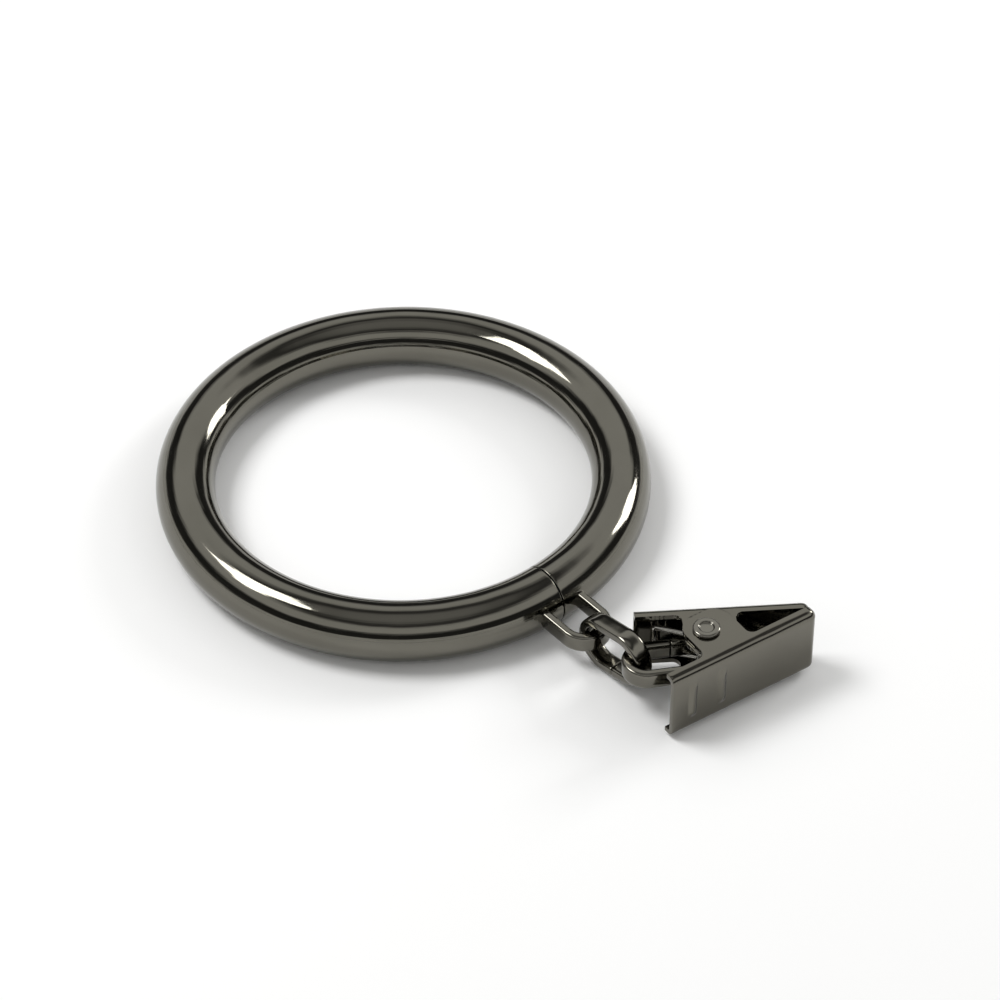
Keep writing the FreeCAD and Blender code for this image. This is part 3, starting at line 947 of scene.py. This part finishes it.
        turn = np.linspace(0.0, np.pi / 2, self.bend_steps)[1:]
        front = np.stack(
            [
                core_x[-1][None, :] + self.bend * np.sin(turn)[:, None],
                core_y[-1][None, :] + self.bend * np.cos(turn)[:, None] * normal_y,
                core_z[None, :] + self.bend * np.cos(turn)[:, None] * normal_z,
            ],
            axis=-1,
        )
        points = np.concatenate([body, front])
        quads = grid_quads(*points.shape[:2])

        low = self.tooth_edge(z)
        fill_share = share[::-1]
        fill = np.stack(
            [
                np.full((self.flange_rows, len(z)), self.nose),
                low[None, :] + (top - low)[None, :] * fill_share[:, None],
                np.broadcast_to(z, (self.flange_rows, len(z))),
            ],
            axis=-1,
        )
        fill_quads = grid_quads(self.flange_rows, len(z)) + points.shape[0] * points.shape[1]
        everything = np.concatenate([points.reshape(-1, 3), fill.reshape(-1, 3)])
        piece = mesh_object(self.name, everything, np.concatenate([quads, fill_quads]))
        self.weld_and_thicken(piece)
        piece.data.transform(self.matrix())
        finish_piece(piece, self.body, Slot.SHEET, self.material, self.node)

    def matrix(self) -> Matrix:
        """Write the jaw's place as a matrix.

        Returns:
            The 4 by 4 matrix, its origin in metres.
        """
        matrix = Matrix([list(row) for row in self.place.turn]).to_4x4()
        matrix.translation = Vector(self.place.origin) * MM
        return matrix

    def weld_and_thicken(self, piece: bpy.types.Object) -> None:
        """Join the nose's grid to the rest, and add the sheet's thickness and its broken edges.

        The faces are turned outwards first, so that the thickness goes inwards.

        Args:
            piece: The jaw's outer face.
        """
        work = bmesh.new()
        work.from_mesh(piece.data)
        bmesh.ops.remove_doubles(work, verts=work.verts, dist=0.002 * MM)
        bmesh.ops.recalc_face_normals(work, faces=work.faces)
        plate_faces = [face for face in work.faces if face.calc_center_median().y > (self.plate - 0.01) * MM]
        if plate_faces and plate_faces[0].normal.y < 0:
            bmesh.ops.reverse_faces(work, faces=work.faces)
        work.to_mesh(piece.data)
        work.free()
        thick = piece.modifiers.new("sheet", "SOLIDIFY")
        thick.thickness = LAYOUT.sheet * MM
        thick.offset = -1.0
        thick.use_even_offset = True
        edges = piece.modifiers.new("broken_edges", "BEVEL")
        edges.width = self.broken_edge * MM
        edges.segments = 3
        edges.limit_method = "ANGLE"
        edges.angle_limit = np.radians(50)
        even = piece.modifiers.new("even_normals", "WEIGHTED_NORMAL")
        even.keep_sharp = True


@dataclass
class PivotPin:
    """Rivet with a head and a shallow dimple at each end."""

    place: Place
    material: bpy.types.Material
    length: float = LAYOUT.pin_length
    head_radius: float = 1.35
    head_thick: float = LAYOUT.head_thick
    dimple_radius: float = 0.75
    dimple_depth: float = 0.2
    dimple_flat: float = 0.55
    dimple_step: float = 0.02
    dimple_foot: float = 0.12
    dimple_rim: float = 0.07
    foot_lean: float = 0.9
    head_round: float = 0.2
    chamfer: float = 0.03
    pole: float = 0.001
    sides: int = 72

    def build(self) -> None:
        """Turn the half profile about the pin's axis, with rounds where the head's edges are."""
        top, floor = self.length / 2, self.length / 2 - self.dimple_depth
        quarter = np.linspace(0.0, np.pi / 2, 8)
        sine, cosine = np.sin(quarter), np.cos(quarter)
        dimple, foot, rim, rounding = self.dimple_radius, self.dimple_foot, self.dimple_rim, self.head_round
        head, under = self.head_radius, top - self.head_thick
        wall, step = dimple - foot - self.dimple_step, floor + self.dimple_step
        upper = np.concatenate([
            [(self.pole, floor), (dimple * self.dimple_flat, floor)],
            np.stack([wall + foot * sine * self.foot_lean, step + foot * (1 - cosine)], axis=1),
            np.stack([dimple + rim - rim * cosine, top - rim + rim * sine], axis=1),
            np.stack([head - rounding + rounding * sine, top - rounding + rounding * cosine], axis=1),
            [(head, under + self.chamfer), (head - self.chamfer, under)],
            [(LAYOUT.pin_radius, under), (LAYOUT.pin_radius, 0.0)],
        ])
        whole = np.concatenate([upper, (upper * [1, -1])[-2::-1]])
        angle = np.linspace(0.0, 2 * np.pi, self.sides, endpoint=False)
        points = np.stack(
            [
                whole[:, :1] * np.cos(angle),
                whole[:, :1] * np.sin(angle),
                np.repeat(whole[:, 1:], self.sides, axis=1),
            ],
            axis=-1,
        )
        quads = grid_quads(len(whole), self.sides, wrap_columns=True)
        piece = mesh_object("pivot_rivet", self.place.put(points.reshape(-1, 3)), quads)
        finish_piece(piece, Body.CLIP, Slot.PIN, self.material, "pivot_pin")


@dataclass
class TorsionSpring:
    """Double torsion spring: bridge, two legs, two coils and two free arms."""

    place: Place
    material: bpy.types.Material
    radius: float = LAYOUT.spring_radius
    coil_radius: float = LAYOUT.coil_radius
    overlap: float = 40.0
    short: float = 15.0
    step: float = 0.06
    sides: int = 20

    def helix(self, first: float, last: float) -> np.ndarray:
        """Part of the upper coil, which turns clockwise as it rises.

        Args:
            first: Degrees turned at the part's start, counted from the leg.
            last: Degrees turned at its end.

        Returns:
            Centre line points.
        """
        turned = np.linspace(first, last, max(int(abs(last - first) / 4), 2))
        angle = np.radians(LAYOUT.leave_angle - turned)
        height = LAYOUT.coil_low + LAYOUT.coil_spacing * turned / 360
        return np.stack([self.coil_radius * np.cos(angle), self.coil_radius * np.sin(angle), height], axis=1)

    def tube(self, name: str, lines: list, body: Body, *nodes: str) -> None:
        """Sweep round wire along centre lines.

        Args:
            name: Object name.
            lines: Centre lines, each softened where it has corners.
            body: Body that the piece rides on.
            nodes: CAD nodes that it stands for.
        """
        points, quads, offset = [], [], 0
        for line in lines:
            path = soften(resample(line, self.step), 4)
            grid = round_sweep(path, self.radius, self.sides)
            quads.append(grid_quads(len(grid), self.sides, wrap_columns=True) + offset)
            points.append(grid.reshape(-1, 3))
            offset += len(points[-1])
        piece = mesh_object(name, self.place.put(np.concatenate(points)), np.concatenate(quads))
        finish_piece(piece, body, Slot.SPRING, self.material, *nodes)

    def build(self) -> None:
        """Make the bridge with legs and coils, and the arms, whose ends lie over the coils."""
        end_x, end_y = LAYOUT.arm_end
        turn = LAYOUT.coil_turn
        flip = np.array([1.0, 1.0, -1.0])
        coil = self.helix(0.0, turn - self.short)
        corner = np.array([[end_x, end_y, LAYOUT.coil_low]])
        upper = np.concatenate([corner, coil])
        whole = np.concatenate([(upper * flip)[::-1], upper])
        self.tube("torsion_spring_coils", [whole], Body.CLIP, "torsion_spring")
        top = self.helix(turn - self.overlap, turn)
        arm = np.concatenate([top, [[end_x, -end_y, top[-1, 2]]]])
        self.tube("torsion_spring_arms", [arm, arm * flip], Body.OUTER_JAW)


def resample(line: np.ndarray, step: float) -> np.ndarray:
    """Even points along a line.

    Args:
        line: Corner points.
        step: Wanted spacing.

    Returns:
        Points from the first to the last, evenly spaced along the line.
    """
    along = np.concatenate([[0.0], np.cumsum(np.linalg.norm(np.diff(line, axis=0), axis=1))])
    wanted = np.linspace(0.0, along[-1], int(along[-1] / step) + 2)
    return np.stack([np.interp(wanted, along, line[:, axis]) for axis in range(3)], axis=1)


def soften(line: np.ndarray, rounds: int) -> np.ndarray:
    """Round a line's corners by moving averages, its ends held.

    Args:
        line: Evenly spaced points.
        rounds: Number of averages.

    Returns:
        The softened line.
    """
    kernel = np.ones(5) / 5
    for _ in range(rounds):
        padded = np.concatenate([2 * line[0] - line[1:3][::-1], line, 2 * line[-1] - line[-3:-1][::-1]])
        line = np.stack([np.convolve(padded[:, axis], kernel, mode="valid") for axis in range(3)], axis=1)
    return line


def round_sweep(path: np.ndarray, radius: float, sides: int) -> np.ndarray:
    """Carry a circle along a line in space, with round ends.

    Args:
        path: Centre line.
        radius: Wire radius.
        sides: Points round the wire.

    Returns:
        Array of path points by sides by 3.
    """
    tangent = np.gradient(path, axis=0)
    tangent /= np.linalg.norm(tangent, axis=1)[:, None]
    scale = np.ones(len(path))
    ends = np.array([0.02, 0.5, 0.8, 0.95])
    scale[:4] = ends
    scale[-4:] = ends[::-1]
    normal = np.cross(tangent[0], [0.0, 0.0, 1.0])
    if np.linalg.norm(normal) < 1e-6:
        normal = np.array([1.0, 0.0, 0.0])
    angle = np.linspace(0.0, 2 * np.pi, sides, endpoint=False)
    cosine, sine = np.cos(angle)[:, None], np.sin(angle)[:, None]
    rows = []
    for point, along, size in zip(path, tangent, scale):
        normal = normal - along * (normal @ along)
        normal /= np.linalg.norm(normal)
        rows.append(point + radius * size * (cosine * normal + sine * np.cross(along, normal)))
    return np.array(rows)


@dataclass
class Studio:
    """Pale floor, soft lights and the camera at the photograph's angle.

    Lengths are in metres, the lens in millimetres and angles in degrees. The sky holds
    pairs of height and brightness.
    """

    target: tuple = (0.006, -0.008, -0.001)
    azimuth: float = -40.0
    elevation: float = 43.0
    distance: float = 0.42
    lens: float = 150.0
    floor_size: float = 3.0
    floor_height: float = -0.00302
    sky_warmth: float = 0.985
    sky: tuple = (
        (0.0, 1.0), (0.10, 1.0), (0.20, 0.06), (0.44, 0.05),
        (0.58, 0.95), (0.76, 0.95), (0.88, 0.10), (1.0, 0.5),
    )

    def build(self) -> None:
        """Make the floor, the world, the lamps and the camera."""
        self.floor()
        self.world()
        self.lamp("key_softbox", (-0.16, 0.20, 0.42), 0.20, 1.3)
        self.lamp("side_softbox", (0.42, -0.05, 0.22), 0.14, 0.7)
        self.camera()

    def floor(self) -> None:
        """Large pale floor just under the ring."""
        size = self.floor_size
        mesh = bpy.data.meshes.new("floor")
        corners = [(-size, -size, 0), (size, -size, 0), (size, size, 0), (-size, size, 0)]
        mesh.from_pydata(corners, [], [(0, 1, 2, 3)])
        plane = bpy.data.objects.new("floor", mesh)
        plane.location.z = self.floor_height
        material = bpy.data.materials.new("floor_white")
        material.use_nodes = True
        shader = material.node_tree.nodes["Principled BSDF"]
        shader.inputs["Base Color"].default_value = (0.97, 0.97, 0.97, 1.0)
        shader.inputs["Roughness"].default_value = 0.7
        shader.inputs["Specular IOR Level"].default_value = 0.2
        mesh.materials.append(material)
        bpy.context.scene.collection.objects.link(plane)

    def world(self) -> None:
        """Studio sky whose brightness changes with height, the same for every ray."""
        world = bpy.data.worlds.new("studio")
        bpy.context.scene.world = world
        world.use_nodes = True
        nodes = world.node_tree.nodes
        links = world.node_tree.links
        direction = nodes.new("ShaderNodeTexCoord").outputs["Generated"]
        split = nodes.new("ShaderNodeSeparateXYZ")
        links.new(direction, split.inputs["Vector"])
        ramp = nodes.new("ShaderNodeValToRGB")
        ramp.color_ramp.interpolation = "EASE"
        elements = ramp.color_ramp.elements
        elements.remove(elements[1])
        for index, (height, level) in enumerate(self.sky):
            element = elements[0] if index == 0 else elements.new(height)
            element.position = height
            element.color = (level, level, level * self.sky_warmth, 1.0)
        links.new(split.outputs["Z"], ramp.inputs["Fac"])
        links.new(ramp.outputs["Color"], nodes["Background"].inputs["Color"])
        nodes["Background"].inputs["Strength"].default_value = 1.0

    def lamp(self, name: str, place: tuple, size: float, power: float) -> None:
        """Square area lamp that faces the object.

        Args:
            name: Lamp name.
            place: Its place in metres.
            size: Its side in metres.
            power: Its power in watts.
        """
        light = bpy.data.lights.new(name, "AREA")
        light.shape = "SQUARE"
        light.size = size
        light.energy = power
        lamp = bpy.data.objects.new(name, light)
        lamp.location = place
        lamp.rotation_euler = (Vector(self.target) - Vector(place)).to_track_quat("-Z", "Y").to_euler()
        bpy.context.scene.collection.objects.link(lamp)

    def camera(self) -> None:
        """Camera at the photograph's angle, aimed at the middle of the object."""
        azimuth, elevation = np.radians(self.azimuth), np.radians(self.elevation)
        away = Vector((
            float(np.sin(azimuth) * np.cos(elevation)),
            float(-np.cos(azimuth) * np.cos(elevation)),
            float(np.sin(elevation)),
        ))
        data = bpy.data.cameras.new("camera")
        data.lens = self.lens
        data.clip_start = 0.01
        camera = bpy.data.objects.new("camera", data)
        camera.location = Vector(self.target) + away * self.distance
        camera.rotation_euler = (-away).to_track_quat("-Z", "Y").to_euler()
        bpy.context.scene.collection.objects.link(camera)
        bpy.context.scene.camera = camera


def main() -> None:
    """Build the object and its studio."""
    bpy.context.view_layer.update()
    materials = {slot: finish.material() for slot, finish in FINISHES.items()}
    places = chain_places()
    Ring(materials[Slot.RING]).build()
    Eyelet(materials[Slot.WIRE]).build()
    OvalLink("upper_oval_link", "upper_link", Body.UPPER_LINK, places["upper_link"], materials[Slot.WIRE],
             LAYOUT.upper_inner).build()
    OvalLink("lower_oval_link", "lower_link", Body.LOWER_LINK, places["lower_link"], materials[Slot.WIRE],
             LAYOUT.lower_inner).build()
    SheetJaw("outer_clip_jaw", "outer_jaw", Body.OUTER_JAW, places["outer_jaw"], materials[Slot.SHEET],
             LAYOUT.outer_width).build()
    SheetJaw("inner_clip_jaw", "inner_jaw", Body.CLIP, places["inner_jaw"], materials[Slot.SHEET],
             LAYOUT.inner_width).build()
    PivotPin(places["pin"], materials[Slot.PIN]).build()
    TorsionSpring(places["pin"], materials[Slot.SPRING]).build()
    Studio().build()
    bpy.context.scene.view_settings.view_transform = "Standard"


if __name__ == "__main__":
    main()
